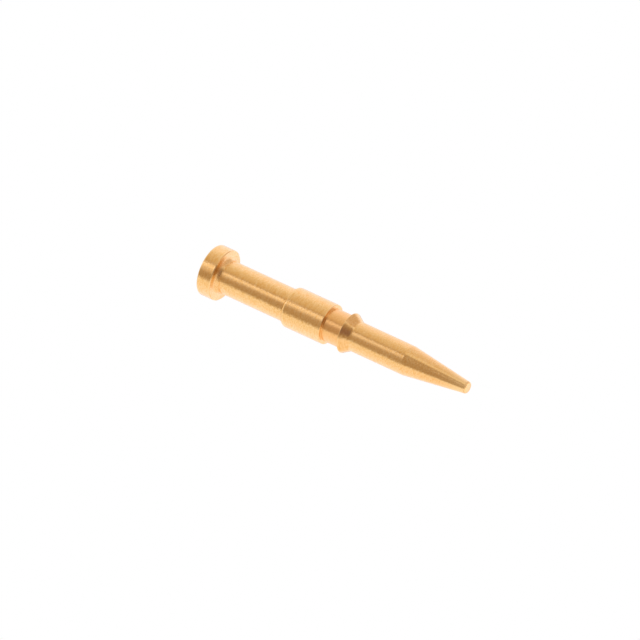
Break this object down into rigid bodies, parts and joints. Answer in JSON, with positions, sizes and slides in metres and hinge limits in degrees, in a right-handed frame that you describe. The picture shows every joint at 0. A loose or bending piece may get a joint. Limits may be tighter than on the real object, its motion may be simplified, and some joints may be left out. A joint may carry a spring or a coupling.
{
  "type": "coaxial center pin",
  "caption": "Turned coaxial center pin: flat head, shank with a conductor bore, collar, retention groove and barb, straight contact and tapered nose.",
  "frame": {"origin": "center of the head's flat rear face, on which the pin stands", "axes": "+Z along the pin's axis, from the head towards the tapered nose; X and Y are free, because the pin is round"},
  "size_m": [0.0024, 0.0024, 0.0134],
  "materials": {
    "gold_plating": "satin gold plating over turned brass"
  },
  "bodies": {
    "root": {"center_pin": "gold_plating"}
  },
  "joints": []
}
